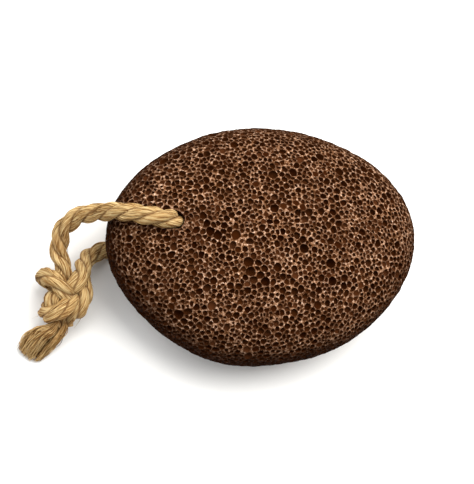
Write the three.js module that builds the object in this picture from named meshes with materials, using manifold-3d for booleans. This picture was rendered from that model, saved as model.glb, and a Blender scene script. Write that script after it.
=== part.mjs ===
// Pumice stone on a rope loop, lying on its flatter face. Millimetres, +Z up.
// X runs along the stone and its rope end is at -X. The origin is the middle of the stone's base.
import * as THREE from 'three';
import { ConvexHull } from 'three/addons/math/ConvexHull.js';
import { mergeVertices } from 'three/addons/utils/BufferGeometryUtils.js';
import Module from 'manifold-3d';

const wasm = await Module();
wasm.setup();

// The stone's size, the height of its widest line, and how full its side view is
const STONE_LENGTH = 101.9;
const STONE_WIDTH = 78.6;
const WIDEST_HEIGHT = 18.5;
const TOP_RISE = 18.3;
const BASE_DROP = 18.9;
const RIM_ROUNDNESS = 2.5;
const DOME_ROUNDNESS = 2.3;

// How its outline, seen from above, departs from an ellipse
const OUTLINE_WAVES = [
  { order: 1, size: 0.0201, phase: 71 },
  { order: 3, size: 0.015, phase: 58 },
  { order: 4, size: 0.0057, phase: -30 },
  { order: 5, size: 0.0077, phase: 98 },
  { order: 6, size: 0.0034, phase: 0 },
];
const OUTLINE_FIT = 1.006;
const OUTLINE_SHIFT = new THREE.Vector2(-0.6, -0.5);

// The underside is shallower towards the rope, which leaves room for it
const LIFT_SHARE = 0.2;
const LIFT_START = -8;
const LIFT_END = -32;

// The pores, from large to small, the roughness of their walls, and the poreless land in the base's middle
const PORES = [
  { reach: 2.4, tries: 180 },
  { reach: 1.85, tries: 2500 },
  { reach: 1.39, tries: 40000 },
];
const PORE_DEPTH_SHARE = 0.85;
const WALL_ROUGHNESS = 0.4;
const NORMAL_STEP = 0.02;
const LAND_RADIUS = 6.5;
const SEED = 20;

// The hole for the rope
const HOLE_RADIUS = 3.55;
const HOLE_X = -30.6;
const HOLE_Y = 6;
const HOLE_SIDES = 20;

// The rope, drawn tighter and so thinner where it is knotted
const ROPE_RADIUS = 3;
const KNOTTED_RADIUS = 2.75;
const ROPE_SIDES = 10;
const KNOT_SIDES = 8;
const LOOP_STEPS = 32;
const KNOT_STEP = 2.25;
const GAP = 0.3;

// The loop's route: from the knot over the stone, down the hole and back below to the knot
const LOOP_ROUTE = [
  [-64.91, -1.24, 11.5],
  [-65.98, 2.55, 12],
  [-65.63, 6.47, 13.5],
  [-64.04, 10.19, 16.5],
  [-59.54, 12.62, 20.5],
  [-54.48, 12.1, 25],
  [-50, 11.2, 29],
  [-45.2, 9.3, 32.8],
  [-37.7, 6.8, 35.5],
  [-34.1, 6.3, 34.6],
  [-31.5, 6, 32],
  [-30.6, 6, 27.8],
  [-30.6, 6, 19.5],
  [-30.6, 6, 13.3],
  [-32, 6, 8.3],
  [-36, 6.1, 4.6],
  [-41, 6.1, 3.4],
  [-46, 5.8, 3.4],
  [-50.5, 5.2, 3.8],
  [-54.5, 3.5, 5.2],
  [-57.4, 0.5, 8],
];

// The upper strand goes almost straight down through the knot
const UPPER_STRAND = [
  [-64.91, -1.24, 11.5],
  [-64.73, -4.72, 11],
  [-65, -7.75, 8.75],
  [-69.2, -12, 11.25],
  [-68, -14.75, 8],
  [-67.3, -17.5, 5.5],
  [-67.5, -21.5, 4.5],
];

// The lower strand is wrapped round it three times
const LOWER_STRAND = [
  [-57.4, 0.5, 8],
  [-59, -3, 11.25],
  [-60.5, -6.5, 13.5],
  [-62.75, -8.25, 13],
  [-64.5, -8.75, 9.5],
  [-66.5, -6.5, 4.75],
  [-68.75, -4.4, 4.25],
  [-70.6, -3.4, 7],
  [-70.85, -3.7, 10.5],
  [-69.5, -5.2, 13.25],
  [-67.5, -7.25, 14.25],
  [-65.5, -9.75, 13.75],
  [-63.5, -11, 10.5],
  [-63, -11.75, 6.5],
  [-64.5, -12, 3.5],
  [-67.5, -12.5, 3.25],
  [-70, -13.5, 5],
  [-71, -15.25, 8.5],
  [-70, -16.75, 12],
  [-67.5, -16, 13.25],
  [-64.25, -14, 12.5],
  [-61.5, -11.25, 9],
  [-60, -8, 5.5],
  [-59, -5.75, 5],
  [-58.75, -5.5, 8],
  [-59, -8.5, 11],
  [-59.25, -12, 12],
  [-61.25, -15.25, 11],
  [-63.25, -16.75, 8.5],
  [-64.5, -18, 6.5],
  [-64.75, -21.5, 4.5],
];

// The frayed ends begin at this line below the knot, and each fans out in locks
const FRAY_LINE = -19.5;
const LOCK_SIDES = 5;
const LOCK_RINGS = 4;
const LOCK_RADII = [1.4, 0.6];
const LOCK_SWAY = 0.6;
const HEART_RADII = [2.3, 1.1];
const HEART_REACH = 0.85;
const FRAYED_ENDS = [
  {
    root: [-67.6, -18.5, 5],
    firstBulge: [-74, -19, 5.6],
    lastBulge: [-71, -22.6, 4.5],
    firstTip: [-80.7, -23.2, 1.8],
    lastTip: [-75.5, -28.8, 1.2],
    locks: 7,
  },
  {
    root: [-65, -18.5, 5],
    firstBulge: [-69.2, -23.6, 4.3],
    lastBulge: [-66, -24.8, 3.7],
    firstTip: [-74.9, -29.2, 1.2],
    lastTip: [-71.2, -28.6, 1],
    locks: 5,
  },
];

const stoneMaterial = new THREE.MeshStandardMaterial({ color: 0x5a3a2c, roughness: 0.95, metalness: 0 });
const ropeMaterial = new THREE.MeshStandardMaterial({ color: 0xc7a56b, roughness: 0.9, metalness: 0 });

// A repeatable random number from 0 to 1
function seededRandom(seed) {
  let state = seed;
  return () => {
    state = (state + 0x6d2b79f5) | 0;
    let mixed = Math.imul(state ^ (state >>> 15), 1 | state);
    mixed = (mixed + Math.imul(mixed ^ (mixed >>> 7), 61 | mixed)) ^ mixed;
    return ((mixed ^ (mixed >>> 14)) >>> 0) / 4294967296;
  };
}

function toSolid(geometry) {
  const bare = geometry.clone();
  bare.deleteAttribute('normal');
  bare.deleteAttribute('uv');
  const merged = mergeVertices(bare, 1e-4);
  return new wasm.Manifold(new wasm.Mesh({
    numProp: 3,
    vertProperties: new Float32Array(merged.attributes.position.array),
    triVerts: new Uint32Array(merged.index.array),
  }));
}

// The solid's largest piece, without specks cut loose or bubbles closed in
function toGeometry(solid) {
  const pieces = solid.decompose();
  const main = pieces.reduce((most, piece) => (piece.volume() > most.volume() ? piece : most));
  const mesh = main.getMesh();
  const geometry = new THREE.BufferGeometry();
  geometry.setAttribute('position', new THREE.BufferAttribute(mesh.vertProperties, 3));
  geometry.setIndex(new THREE.BufferAttribute(mesh.triVerts, 1));
  return geometry;
}

function curveThrough(points) {
  return new THREE.CatmullRomCurve3(points.map((point) => new THREE.Vector3(...point)));
}

// A round bar with flat ends along a route
function bar(route, radius, sides, steps) {
  const section = new THREE.Shape();
  for (let side = 0; side < sides; side += 1) {
    const angle = (2 * Math.PI * side) / sides;
    const corner = [radius * Math.cos(angle), radius * Math.sin(angle)];
    if (side === 0) {
      section.moveTo(...corner);
    } else {
      section.lineTo(...corner);
    }
  }
  section.closePath();
  return new THREE.ExtrudeGeometry(section, { steps, extrudePath: curveThrough(route) });
}

// The stone's side view: the distance from the axis and the height, from the top's middle to the base's
class StoneSection extends THREE.Curve {
  getPoint(t, target = new THREE.Vector2()) {
    const turn = Math.PI * t;
    const spread = Math.pow(Math.max(Math.sin(turn), 0), 2 / RIM_ROUNDNESS);
    const bulge = Math.pow(Math.abs(Math.cos(turn)), 2 / DOME_ROUNDNESS);
    const reach = (STONE_LENGTH + STONE_WIDTH) / 4;
    const height = t < 0.5 ? TOP_RISE * bulge : -BASE_DROP * bulge;
    return target.set(reach * spread, height);
  }
}
const section = new StoneSection();
section.arcLengthDivisions = 600;

function outlineRadius(angle) {
  const long = STONE_LENGTH / 2;
  const wide = STONE_WIDTH / 2;
  const ellipse = (long * wide) / Math.hypot(wide * Math.cos(angle), long * Math.sin(angle));
  const waves = OUTLINE_WAVES.reduce(
    (sum, wave) => sum + wave.size * Math.cos(wave.order * angle - THREE.MathUtils.degToRad(wave.phase)),
    OUTLINE_FIT,
  );
  return ellipse * waves;
}

// The point of the smooth stone that a direction from its middle leads to
function stonePoint(direction) {
  const angle = Math.atan2(direction.y, direction.x);
  const along = Math.acos(THREE.MathUtils.clamp(direction.z, -1, 1)) / Math.PI;
  const { x: reach, y: rise } = section.getPointAt(along);
  const distance = (reach * outlineRadius(angle) * 4) / (STONE_LENGTH + STONE_WIDTH);
  const x = distance * Math.cos(angle);
  const lift = LIFT_SHARE * THREE.MathUtils.smoothstep(-x, -LIFT_START, -LIFT_END);
  const height = WIDEST_HEIGHT + (rise < 0 ? rise * (1 - lift) : rise);
  return new THREE.Vector3(
    x + OUTLINE_SHIFT.x,
    distance * Math.sin(angle) + OUTLINE_SHIFT.y,
    Math.max(height, 0),
  );
}

// The outward direction of the smooth stone there
function stoneNormal(direction) {
  const side = new THREE.Vector3(-direction.y, direction.x, 0);
  if (side.lengthSq() < 1e-6) {
    side.set(1, 0, 0);
  }
  side.normalize();
  const up = new THREE.Vector3().crossVectors(direction, side);
  const beside = (axis, step) => stonePoint(direction.clone().addScaledVector(axis, step).normalize());
  const across = beside(side, NORMAL_STEP).sub(beside(side, -NORMAL_STEP));
  const along = beside(up, NORMAL_STEP).sub(beside(up, -NORMAL_STEP));
  return across.cross(along).normalize();
}

// Scatters the pores so that none comes nearer another than their two reaches
function scatterPores(random) {
  const pores = [];
  for (const { reach, tries } of PORES) {
    for (let attempt = 0; attempt < tries; attempt += 1) {
      const z = 2 * random() - 1;
      const angle = 2 * Math.PI * random();
      const level = Math.sqrt(1 - z * z);
      const direction = new THREE.Vector3(level * Math.cos(angle), level * Math.sin(angle), z);
      const place = stonePoint(direction);
      const free = pores.every((other) => other.place.distanceTo(place) >= reach + other.reach);
      if (free) {
        pores.push({ direction, place, reach });
      }
    }
  }
  return pores;
}

function onLand(place) {
  return place.z === 0 && Math.hypot(place.x, place.y) < LAND_RADIUS;
}

// A skin of pores: each is a pit whose walls rise to where three pores meet
function poredStone() {
  const random = seededRandom(SEED);
  const pores = scatterPores(random);
  const hull = new ConvexHull().setFromPoints(pores.map((pore) => pore.direction));
  const poreAt = new Map(pores.map((pore, index) => [pore.direction, { ...pore, index }]));
  const positions = [];
  for (const pore of pores) {
    const depth = onLand(pore.place) ? 0 : PORE_DEPTH_SHARE * pore.reach;
    const floor = pore.place.clone().addScaledVector(stoneNormal(pore.direction), -depth);
    positions.push(floor.x, floor.y, floor.z);
  }
  const corners = new Map();
  for (const face of hull.faces) {
    const middle = new THREE.Vector3();
    for (const edge of [face.edge, face.edge.next, face.edge.prev]) {
      middle.add(edge.head().point);
    }
    middle.normalize();
    const corner = stonePoint(middle);
    if (corner.z > 0) {
      corner.addScaledVector(stoneNormal(middle), -WALL_ROUGHNESS * random());
    }
    corners.set(face, positions.length / 3);
    positions.push(corner.x, corner.y, corner.z);
  }
  const triangles = [];
  for (const face of hull.faces) {
    for (const edge of [face.edge, face.edge.next, face.edge.prev]) {
      const pore = poreAt.get(edge.tail().point).index;
      triangles.push(pore, corners.get(edge.twin.face), corners.get(face));
    }
  }
  const geometry = new THREE.BufferGeometry();
  geometry.setAttribute('position', new THREE.Float32BufferAttribute(positions, 3));
  geometry.setIndex(triangles);
  return toSolid(geometry);
}

function ropeHole() {
  const height = 3 * WIDEST_HEIGHT;
  const cylinder = new THREE.CylinderGeometry(HOLE_RADIUS, HOLE_RADIUS, height, HOLE_SIDES);
  cylinder.rotateX(Math.PI / 2);
  cylinder.translate(HOLE_X, HOLE_Y, WIDEST_HEIGHT);
  return toSolid(cylinder);
}

// The room that the rope takes, with the gap that it keeps to the stone and the knot
function ropeRoom() {
  const radius = (ROPE_RADIUS + GAP) / Math.cos(Math.PI / ROPE_SIDES);
  return toSolid(bar(LOOP_ROUTE, radius, ROPE_SIDES, LOOP_STEPS));
}

function stone() {
  return toGeometry(poredStone().subtract(ropeHole()).subtract(ropeRoom()));
}

function knottedStrand(route) {
  const steps = Math.round(curveThrough(route).getLength() / KNOT_STEP);
  return toSolid(bar(route, KNOTTED_RADIUS, KNOT_SIDES, steps));
}

// Everything on one side of the line where the ends begin to fray
function sideOfFrayLine(sign) {
  const size = STONE_LENGTH;
  const block = new THREE.BoxGeometry(size, size, size);
  block.translate(-size / 2, FRAY_LINE + (sign * (size + GAP)) / 2, 0);
  return toSolid(block);
}

function knot() {
  const tied = knottedStrand(UPPER_STRAND).add(knottedStrand(LOWER_STRAND));
  return toGeometry(tied.intersect(sideOfFrayLine(1)).subtract(ropeRoom()));
}

// One tapering lock of fibres: a turned spindle bent along a curve
function lock(route, [rootRadius, tipRadius]) {
  const curve = curveThrough(route);
  const profile = [new THREE.Vector2(0, 0)];
  for (let ring = 0; ring <= LOCK_RINGS; ring += 1) {
    const t = ring / LOCK_RINGS;
    profile.push(new THREE.Vector2(THREE.MathUtils.lerp(rootRadius, tipRadius, t), t));
  }
  profile.push(new THREE.Vector2(0, 1));
  const spindle = new THREE.LatheGeometry(profile, LOCK_SIDES);
  const frames = curve.computeFrenetFrames(LOCK_RINGS, false);
  const points = spindle.attributes.position;
  const vertex = new THREE.Vector3();
  for (let index = 0; index < points.count; index += 1) {
    vertex.fromBufferAttribute(points, index);
    const ring = Math.round(vertex.y * LOCK_RINGS);
    const bent = curve.getPointAt(ring / LOCK_RINGS)
      .addScaledVector(frames.normals[ring], vertex.x)
      .addScaledVector(frames.binormals[ring], -vertex.z);
    points.setXYZ(index, bent.x, bent.y, bent.z);
  }
  return toSolid(spindle);
}

// The point a share of the way from one point to another
function between(first, last, share) {
  return first.map((value, axis) => THREE.MathUtils.lerp(value, last[axis], share));
}

function frayedEnds() {
  const locks = [];
  for (const { root, firstBulge, lastBulge, firstTip, lastTip, locks: count } of FRAYED_ENDS) {
    for (let index = 0; index < count; index += 1) {
      const share = index / (count - 1);
      const middle = between(firstBulge, lastBulge, share);
      middle[2] += index % 2 === 0 ? LOCK_SWAY : -LOCK_SWAY;
      locks.push(lock([root, middle, between(firstTip, lastTip, share)], LOCK_RADII));
    }
    const heartMiddle = between(firstBulge, lastBulge, 0.5);
    const heartTip = between(root, between(firstTip, lastTip, 0.5), HEART_REACH);
    locks.push(lock([root, heartMiddle, heartTip], HEART_RADII));
  }
  return toGeometry(wasm.Manifold.union(locks).intersect(sideOfFrayLine(-1)));
}

function part(name, geometry, material) {
  const mesh = new THREE.Mesh(geometry, material);
  mesh.name = name;
  return mesh;
}

const group = new THREE.Group();
group.add(
  part('stone', stone(), stoneMaterial),
  part('rope_loop', bar(LOOP_ROUTE, ROPE_RADIUS, ROPE_SIDES, LOOP_STEPS), ropeMaterial),
  part('rope_knot', knot(), ropeMaterial),
  part('rope_ends', frayedEnds(), ropeMaterial),
);

export default group;
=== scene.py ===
import math

import bpy
import numpy as np
from mathutils import Matrix, Vector, geometry


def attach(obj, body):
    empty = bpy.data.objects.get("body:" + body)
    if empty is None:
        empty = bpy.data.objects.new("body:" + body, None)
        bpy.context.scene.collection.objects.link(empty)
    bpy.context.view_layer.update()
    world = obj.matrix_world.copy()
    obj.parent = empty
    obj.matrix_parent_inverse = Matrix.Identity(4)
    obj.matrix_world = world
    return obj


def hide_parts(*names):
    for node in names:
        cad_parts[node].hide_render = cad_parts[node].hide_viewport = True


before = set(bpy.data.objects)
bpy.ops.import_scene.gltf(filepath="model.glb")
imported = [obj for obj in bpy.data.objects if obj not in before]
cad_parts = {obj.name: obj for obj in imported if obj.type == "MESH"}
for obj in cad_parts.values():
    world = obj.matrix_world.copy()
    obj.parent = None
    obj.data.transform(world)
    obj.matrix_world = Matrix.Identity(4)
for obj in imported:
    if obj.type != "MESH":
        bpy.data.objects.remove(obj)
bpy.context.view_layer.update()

# Every length below is in millimetres until a mesh is made
MM = 0.001
TAU = 2 * math.pi

# Camera
CAMERA_AT = np.array([-114.62, -104.30, 429.79])
CAMERA_RIGHT = np.array([0.96857, -0.11825, 0.21884])
CAMERA_UP = np.array([0.05819, 0.96308, 0.26284])
CAMERA_BACK = np.array([-0.2418, -0.2418, 0.9397])
CAMERA_LENS = 100
CAMERA_SENSOR = 36
NEAREST_SEEN, FARTHEST_SEEN = 0.01, 20


def make_camera():
    data = bpy.data.cameras.new("camera")
    data.lens = CAMERA_LENS
    data.sensor_width = CAMERA_SENSOR
    data.clip_start = NEAREST_SEEN
    data.clip_end = FARTHEST_SEEN
    camera = bpy.data.objects.new("camera", data)
    bpy.context.collection.objects.link(camera)
    rows = [
        (CAMERA_RIGHT[k], CAMERA_UP[k], CAMERA_BACK[k], CAMERA_AT[k] * MM)
        for k in range(3)
    ]
    camera.matrix_world = Matrix(rows + [(0, 0, 0, 1)])
    bpy.context.scene.camera = camera


make_camera()

# Numbers that spread a whole number's bits, for noise that is the same on each run
SEED_STEP, SEED_START = 7919, 17
FIRST_SPREAD = np.uint64(0x9E3779B97F4A7C15)
LAST_SPREAD = np.uint64(0xBF58476D1CE4E5B9)
FIRST_SHIFT = np.uint64(29)
LAST_SHIFT = np.uint64(32)
LOW_32_BITS = 0xFFFFFFFF
LOW_24_BITS = 0xFFFFFF


def smoothstep(value, low, high):
    t = np.clip((value - low) / (high - low), 0, 1)
    return t * t * (3 - 2 * t)


def unit(v):
    return v / np.linalg.norm(v, axis=-1, keepdims=True)


def row_dots(p, q):
    return np.einsum("ij,ij->i", p, q)


def lengths_along(points):
    """How far each point is along the line through them all."""
    steps = np.linalg.norm(np.diff(points, axis=0), axis=1)
    return np.concatenate([[0], np.cumsum(steps)])


def hashed(cells, seed):
    """A repeatable number from 0 to 1 for each row of whole numbers."""
    h = np.full(len(cells), np.uint64(seed * SEED_STEP + SEED_START), np.uint64)
    for k in range(cells.shape[1]):
        h ^= (cells[:, k].astype(np.int64) & LOW_32_BITS).astype(np.uint64)
        h = h * FIRST_SPREAD
        h ^= h >> FIRST_SHIFT
    h = h * LAST_SPREAD
    h ^= h >> LAST_SHIFT
    return (h & np.uint64(LOW_24_BITS)).astype(float) / LOW_24_BITS


def value_noise(points, seed):
    """Smooth noise from -1 to 1 at points of two or three numbers, with cells of size 1."""
    points = np.asarray(points, float)
    base = np.floor(points)
    t = smoothstep(points - base, 0, 1)
    size = points.shape[1]
    total = np.zeros(len(points))
    for corner in range(2 ** size):
        bits = np.array([(corner >> k) & 1 for k in range(size)])
        weight = np.prod(np.where(bits, t, 1 - t), axis=1)
        total += weight * hashed(base + bits, seed)
    return 2 * total - 1


# Meshes
def make_piece(name, verts, faces, material, replaced):
    """A piece of the object from points in millimetres, which rides on the root body."""
    mesh = bpy.data.meshes.new(name)
    mesh.from_pydata((np.asarray(verts) * MM).tolist(), [], faces)
    mesh.validate()
    mesh.materials.append(material)
    mesh.shade_smooth()
    piece = bpy.data.objects.new(name, mesh)
    bpy.context.collection.objects.link(piece)
    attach(piece, "root")
    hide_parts(replaced)
    return piece


def add_attribute(piece, name, values, kind="FLOAT", domain="POINT"):
    layer = piece.data.attributes.new(name, kind, domain)
    field = "value" if kind == "FLOAT" else "vector"
    layer.data.foreach_set(field, np.asarray(values, np.float32).ravel())


# Materials
class Shader:
    """A material's nodes, made one by one."""

    def __init__(self, name, roughness, specular):
        self.material = bpy.data.materials.new(name)
        self.material.use_nodes = True
        self.tree = self.material.node_tree
        self.surface = self.tree.nodes["Principled BSDF"]
        self.surface.inputs["Roughness"].default_value = roughness
        self.surface.inputs["Specular IOR Level"].default_value = specular

    def node(self, kind, inputs=None, **settings):
        node = self.tree.nodes.new(kind)
        for key, value in settings.items():
            setattr(node, key, value)
        for key, value in (inputs or {}).items():
            if isinstance(value, bpy.types.NodeSocket):
                self.tree.links.new(value, node.inputs[key])
            else:
                node.inputs[key].default_value = value
        return node

    def attribute(self, name, output="Fac"):
        return self.node("ShaderNodeAttribute", attribute_name=name).outputs[output]

    def place(self):
        return self.node("ShaderNodeTexCoord").outputs["Object"]

    def noise(self, vector, scale, detail=2.0, roughness=0.5):
        inputs = {"Vector": vector, "Scale": scale, "Detail": detail, "Roughness": roughness}
        return self.node("ShaderNodeTexNoise", inputs).outputs["Fac"]

    def scaled(self, vector, scale):
        return self.node("ShaderNodeVectorMath", {0: vector, 1: scale}, operation="MULTIPLY").outputs[0]

    def ramp(self, factor, stops):
        node = self.node("ShaderNodeValToRGB", {"Fac": factor})
        elements = node.color_ramp.elements
        while len(elements) < len(stops):
            elements.new(0.5)
        for element, (position, colour) in zip(elements, stops):
            element.position = position
            element.color = (*colour, 1)
        return node.outputs["Color"]

    def span(self, value, low, high, to_low=0.0, to_high=1.0):
        inputs = {"Value": value, "From Min": low, "From Max": high, "To Min": to_low, "To Max": to_high}
        return self.node("ShaderNodeMapRange", inputs).outputs["Result"]

    def mix(self, factor, a, b, blend="MIX"):
        node = self.node("ShaderNodeMix", data_type="RGBA", blend_type=blend)
        for socket, value in ((0, factor), (6, a), (7, b)):
            if isinstance(value, bpy.types.NodeSocket):
                self.tree.links.new(value, node.inputs[socket])
            else:
                node.inputs[socket].default_value = value if socket == 0 else (*value, 1)
        return node.outputs[2]

    def times(self, a, b):
        return self.mix(1.0, a, b, "MULTIPLY")

    def bump(self, height, strength, distance):
        inputs = {"Height": height, "Strength": strength, "Distance": distance}
        node = self.node("ShaderNodeBump", inputs)
        self.tree.links.new(node.outputs[0], self.surface.inputs["Normal"])

    def colour(self, socket):
        self.tree.links.new(socket, self.surface.inputs["Base Color"])


# Colour ramps as stops. First the ridges between pores: their grain, what blotches and wide patches
# multiply it by, what the breadth of the land does, and painted shade that darkens the stone's steep sides
WHITE = (1.0, 1.0, 1.0)
MIDDLE_TONE = 0.5
RIDGE_STOPS = [
    (0.38, (0.030, 0.010, 0.002)),
    (0.48, (0.088, 0.039, 0.017)),
    (0.56, (0.200, 0.114, 0.068)),
    (0.68, (0.460, 0.335, 0.255)),
]
BLOTCH_STOPS = [(0.36, (0.60, 0.54, 0.50)), (0.64, (1.30, 1.30, 1.30))]
PATCH_STOPS = [(0.32, (0.72, 0.66, 0.60)), (0.5, (0.98, 0.97, 0.96)), (0.7, (1.18, 1.16, 1.12))]
THIN_RIDGE, BROAD_RIDGE = (0.64, 0.58, 0.54), (1.25, 1.25, 1.25)
# Painted shade: how dark the ridges turn where the stone's side is steep
STEEP_SIDE_SHADE = (0.13, 0.10, 0.09)

# The pits' floors, by each pit's tone, and the part of their walls between the ridge and the floor: the pits'
# own dark brown, with painted shade that deepens it below the rim
PIT_STOPS = [
    (0.0, (0.022, 0.0045, 0.0004)),
    (0.7, (0.034, 0.0085, 0.0012)),
    (1.0, (0.060, 0.019, 0.006)),
]
PIT_WALL = (0.045, 0.014, 0.004)

# The rope: its streaks, what finer and wider ones and each bundle's tone multiply them by, and its shades
FIBRE_STOPS = [
    (0.34, (0.060, 0.022, 0.005)),
    (0.44, (0.270, 0.146, 0.047)),
    (0.52, (0.460, 0.326, 0.147)),
    (0.70, (0.520, 0.400, 0.215)),
]
FINE_STOPS = [(0.32, (0.62, 0.54, 0.44)), (0.56, (1.08, 1.08, 1.08))]
WIDE_STOPS = [(0.30, (0.74, 0.66, 0.56)), (0.5, WHITE), (0.72, (1.06, 1.06, 1.06))]
TONE_STOPS = [
    (0.0, (0.30, 0.20, 0.11)),
    (0.22, (0.68, 0.57, 0.43)),
    (MIDDLE_TONE, WHITE),
    (1.0, (1.42, 1.46, 1.48)),
]
RUSTY_PATCH = (0.380, 0.185, 0.060)
GROOVE_SHADE = (0.110, 0.045, 0.012)

# How many cells of noise there are to a metre, and to a millimetre across and along the rope's fibres
GRAIN_SCALE, BLOTCH_SCALE, PATCH_SCALE, ROUGH_SCALE, RUSTY_SCALE = 1300, 420, 95, 2600, 60
FINE_SCALE, STREAK_SCALE, WIDE_SCALE = (6.5, 0.34, 1.0), (2.7, 0.19, 1.0), (0.9, 0.05, 1.0)

# Where one colour gives way to the next: by depth below the rim, land's breadth, and share of a groove
RIDGE_TO_WALL = (0.02, 0.22)
WALL_TO_PIT = (0.12, 0.50)
THIN_TO_BROAD = (0.09, 0.22)
GROOVE_SHADING = (0.55, 1.0, 0.0, 0.85)
RUSTY_SHARE = (0.52, 0.75, 0.0, 0.35)
BUMP_HEIGHT = 0.00025


def stone_material():
    m = Shader("pumice", 0.95, 0.03)
    place = m.place()
    grain = m.noise(place, GRAIN_SCALE, 4, 0.72)
    blotch = m.noise(place, BLOTCH_SCALE, 2, 0.5)
    patch = m.noise(place, PATCH_SCALE, 3, 0.55)
    ridge = m.ramp(grain, RIDGE_STOPS)
    land = m.mix(m.span(m.attribute("broad"), *THIN_TO_BROAD), THIN_RIDGE, BROAD_RIDGE)
    ridge = m.times(ridge, land)
    ridge = m.times(ridge, m.ramp(blotch, BLOTCH_STOPS))
    ridge = m.times(ridge, m.ramp(patch, PATCH_STOPS))
    # Painted shade: ridges darken on the stone's steep sides, by how upright their normal is
    ridge = m.times(ridge, m.mix(m.attribute("level_unshaded"), STEEP_SIDE_SHADE, WHITE))
    pit = m.ramp(m.attribute("tone"), PIT_STOPS)
    # The pits' own dark brown with painted shade: the colour goes from ridge to wall to floor as the depth
    # below the rim grows
    depth = m.attribute("depth")
    wall = m.mix(m.span(depth, *RIDGE_TO_WALL), ridge, PIT_WALL)
    m.colour(m.mix(m.span(depth, *WALL_TO_PIT), wall, pit))
    m.bump(m.noise(place, ROUGH_SCALE, 3, 0.6), 0.6, BUMP_HEIGHT)
    return m.material


def rope_material():
    m = Shader("natural_rope", 0.82, 0.15)
    fibre = m.attribute("fibre", "Vector")
    fine = m.noise(m.scaled(fibre, FINE_SCALE), 1.0, 2, 0.6)
    streak = m.noise(m.scaled(fibre, STREAK_SCALE), 1.0, 3, 0.64)
    wide = m.noise(m.scaled(fibre, WIDE_SCALE), 1.0, 2, 0.5)
    patch = m.noise(m.place(), RUSTY_SCALE, 2, 0.5)
    tan = m.ramp(streak, FIBRE_STOPS)
    tan = m.times(tan, m.ramp(fine, FINE_STOPS))
    tan = m.times(tan, m.ramp(wide, WIDE_STOPS))
    tan = m.mix(m.span(patch, *RUSTY_SHARE), tan, RUSTY_PATCH)
    tan = m.times(tan, m.ramp(m.attribute("tone"), TONE_STOPS))
    groove = m.span(m.attribute("groove"), *GROOVE_SHADING)
    m.colour(m.mix(groove, tan, GROOVE_SHADE))
    m.bump(streak, 0.7, BUMP_HEIGHT)
    return m.material


STONE = stone_material()
ROPE = rope_material()

# Rope: three plies laid round a middle line, thinner where the knot or the ends press it
ROPE_RADIUS = 3.0
KNOTTED_RADIUS = 2.85
TAIL_RADIUS = 2.0
OUTSIDE_BLEND, INSIDE_BLEND = 4, 6
TAPER_FROM, TAPER_TO = 2, 10
LAY_PITCH = 19.5
LAY_PHASE = TAU / 6
RING_STEP = 0.45
CURVE_STEPS = 24
ROPE_SHARP_ANGLE = 75
ROPE_SEED = 11

# The rope's section: each ply's middle and radius for a rope of radius 1, and how deep its grooves stay
PLY_VERTS = 22
PLY_ANGLE = TAU / 3
HALF_PLY = TAU / 6
PLY_OFFSET, PLY_RADIUS = 0.46, 0.56
SECTION_FULLNESS, GROOVE_KEPT = 0.985, 0.80

# Fibres turn a little less than the plies do, and each ply has its own part of the pattern
LAY_ANGLE_KEPT = 0.88
PLY_SHIFT = 23
PLY_APART = 3.1
CAP_FIBRE_STEP = 0.3
TONE_ACROSS, TONE_ALONG = 7, 31

# Relief as height, cell across and along the fibres, and seed: of bundles, fibres and whole plies
BUNDLE_RELIEF = (0.115, 0.75, 9, 3)
FIBRE_RELIEF = (0.055, 0.36, 5, 5)
PLY_RELIEF = (0.09, 1, 7, 9)

# Raised bundles of fibres: how many, how much of a ply they cover, how they turn, rise and sink at the ends
LOOP_BUNDLES, UPPER_BUNDLES, LOWER_BUNDLES = 420, 80, 440
BUNDLE_MARGIN = 3.5
BUNDLE_REACH = (0.45, 1.0)
BUNDLE_TURN = (-0.10, 0.10)
BUNDLE_RISE = (-0.03, 0.09)
BUNDLE_SINK = 0.22
BUNDLE_RADIUS = (0.10, 0.21)
BUNDLE_POINTS, BUNDLE_SIDES, BUNDLE_TIP = 9, 5, 0.7
LOWEST_BUNDLE = 0.3

# Loose fibres: how many, their size, how they stand off the rope and how they bend
LOOP_LOOSE, KNOT_LOOSE = 60, 50
LOOSE_RINGS_CLEAR = (4, 14)
LOOSE_ROOT = 0.9
LOOSE_FORWARD = 0.6
LOOSE_LENGTH = (2.0, 5.0)
LOOSE_LIFT = (0.25, 0.6)
LOOSE_TURN = (-0.5, 0.5)
LOOSE_BEND = (-0.4, 0.15)
LOOSE_BEND_SHARE = 0.6
LOOSE_RADIUS = (0.04, 0.07)
LOOSE_POINTS, LOOSE_SIDES, LOOSE_TIP = 6, 4, 0.3
LOWEST_LOOSE = 0.15
HAIR_TAPERS_FROM = 0.35

# Where the two ends begin to fray, how far the strands go on under them, and where the stone begins
FRAY_LINE = -19.5
FRAY_OVERLAP = 0.3
STONE_REACH = -51.5

# The loop's route: from the knot over the stone, down the hole and back below to the knot
LOOP_ROUTE = [
    (-64.91, -1.24, 11.5), (-65.98, 2.55, 12), (-65.63, 6.47, 13.5), (-64.04, 10.19, 16.5),
    (-59.54, 12.62, 20.5), (-54.48, 12.1, 25), (-50, 11.2, 29), (-45.2, 9.3, 32.8), (-37.7, 6.8, 35.5),
    (-34.1, 6.3, 34.6), (-31.5, 6, 32), (-30.6, 6, 27.8), (-30.6, 6, 19.5), (-30.6, 6, 13.3),
    (-32, 6, 8.3), (-36, 6.1, 4.6), (-41, 6.1, 3.4), (-46, 5.8, 3.4), (-50.5, 5.2, 3.8),
    (-54.5, 3.5, 5.2), (-57.4, 0.5, 8),
]
UPPER_STRAND = [
    (-64.91, -1.24, 11.5), (-64.73, -4.72, 11), (-65, -7.75, 8.75), (-69.2, -12, 11.25),
    (-68, -14.75, 8), (-67.3, -17.5, 5.5), (-67.5, -21.5, 4.5),
]
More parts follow.
